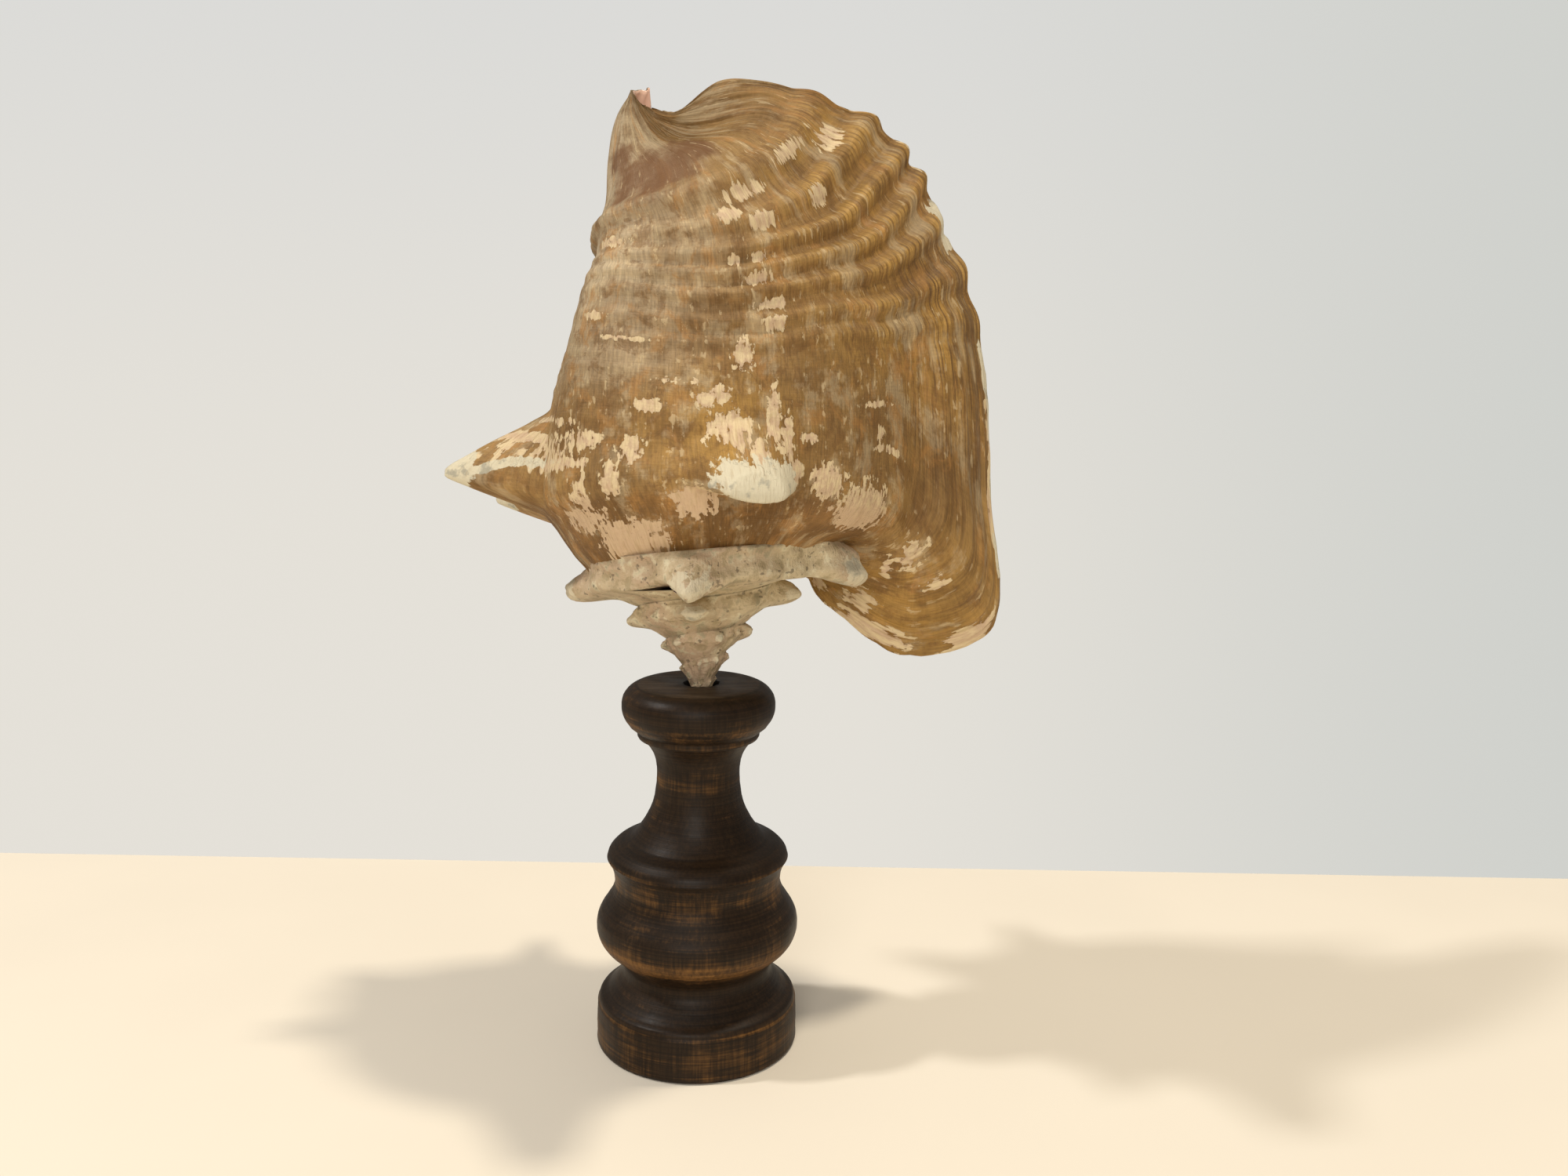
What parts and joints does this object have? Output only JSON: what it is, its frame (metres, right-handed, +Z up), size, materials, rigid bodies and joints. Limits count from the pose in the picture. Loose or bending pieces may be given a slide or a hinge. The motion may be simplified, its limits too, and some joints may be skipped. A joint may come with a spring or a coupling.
{
  "type": "conch shell on stand",
  "caption": "Large flared spiral sea shell standing spire down in the top of a round turned wooden stand.",
  "frame": {"origin": "centre of the stand's flat underside", "axes": "+Z up along the stand's turning axis; -Y towards the shell's back (dorsal) side, +X towards the flared lip, +Y towards the opening"},
  "size_m": [0.2079, 0.161, 0.3572],
  "materials": {
    "shell": "dry tan outer skin with flaked cream patches, pink and glossy inside",
    "stained_wood": "dark stain rubbed through to warm brown bands, semi-gloss"
  },
  "bodies": {
    "root": {"conch_shell": "shell", "turned_stand": "stained_wood"}
  },
  "joints": []
}
